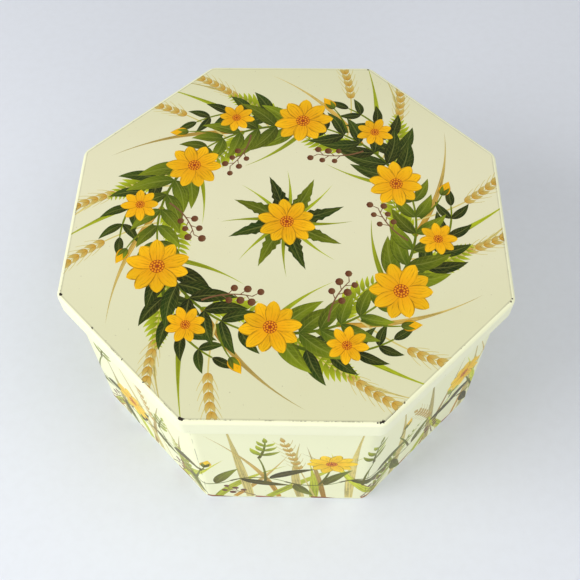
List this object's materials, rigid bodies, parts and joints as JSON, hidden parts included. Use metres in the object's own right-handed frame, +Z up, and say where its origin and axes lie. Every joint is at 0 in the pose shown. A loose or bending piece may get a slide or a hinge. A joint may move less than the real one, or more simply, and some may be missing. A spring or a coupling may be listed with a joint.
{
  "type": "tin box",
  "caption": "Octagonal slip-lid tin box of folded sheet, with a flat lid, curled edges and a recessed base, for papers and keepsakes.",
  "frame": {"origin": "centre of the base, on the surface that the box stands on", "axes": "+Z up through the lid, -Y out of the front side, +Y out of the side with the wall's seam"},
  "size_m": [0.15, 0.15, 0.0795],
  "materials": {
    "lid_lacquer": "cream lacquer with a printed design under satin varnish, chipped at the corners",
    "wall_lacquer": "ivory lacquer with a printed design outside, plain tinplate inside",
    "bare_tinplate": "plain tinplate"
  },
  "bodies": {
    "box": {"body_wall": "wall_lacquer", "base_panel": "bare_tinplate"},
    "lid": {"lid": "lid_lacquer"}
  },
  "joints": [
    {"name": "lid_lift", "type": "slide", "parent": "box", "child": "lid", "axis": [0, 0, 1], "range_m": [0, 0.1]}
  ]
}
